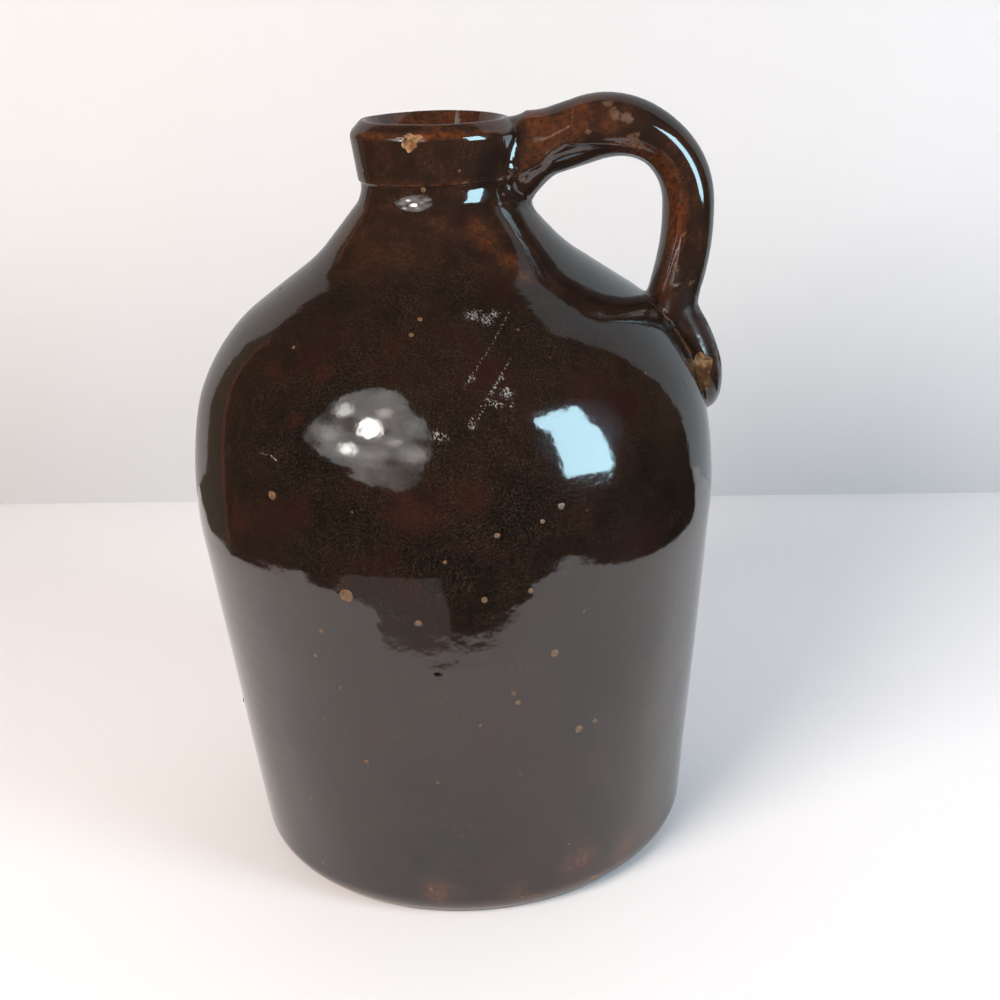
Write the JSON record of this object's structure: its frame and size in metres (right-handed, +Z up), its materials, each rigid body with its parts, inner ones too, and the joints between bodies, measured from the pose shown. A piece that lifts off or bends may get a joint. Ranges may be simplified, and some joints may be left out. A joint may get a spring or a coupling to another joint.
{
  "type": "stoneware jug",
  "caption": "Brown-glazed stoneware jug holding about half a gallon, with a drawn-in neck, a turned collar round an open mouth and one strap handle.",
  "frame": {"origin": "centre of the flat base, on the surface it stands on", "axes": "+Z up through the mouth, +X towards the handle, +Y to the handle's left seen from outside"},
  "size_m": [0.1559, 0.1524, 0.2189],
  "materials": {
    "glaze": "glossy dark brown slip glaze"
  },
  "bodies": {
    "root": {"jug": "glaze"}
  },
  "joints": []
}
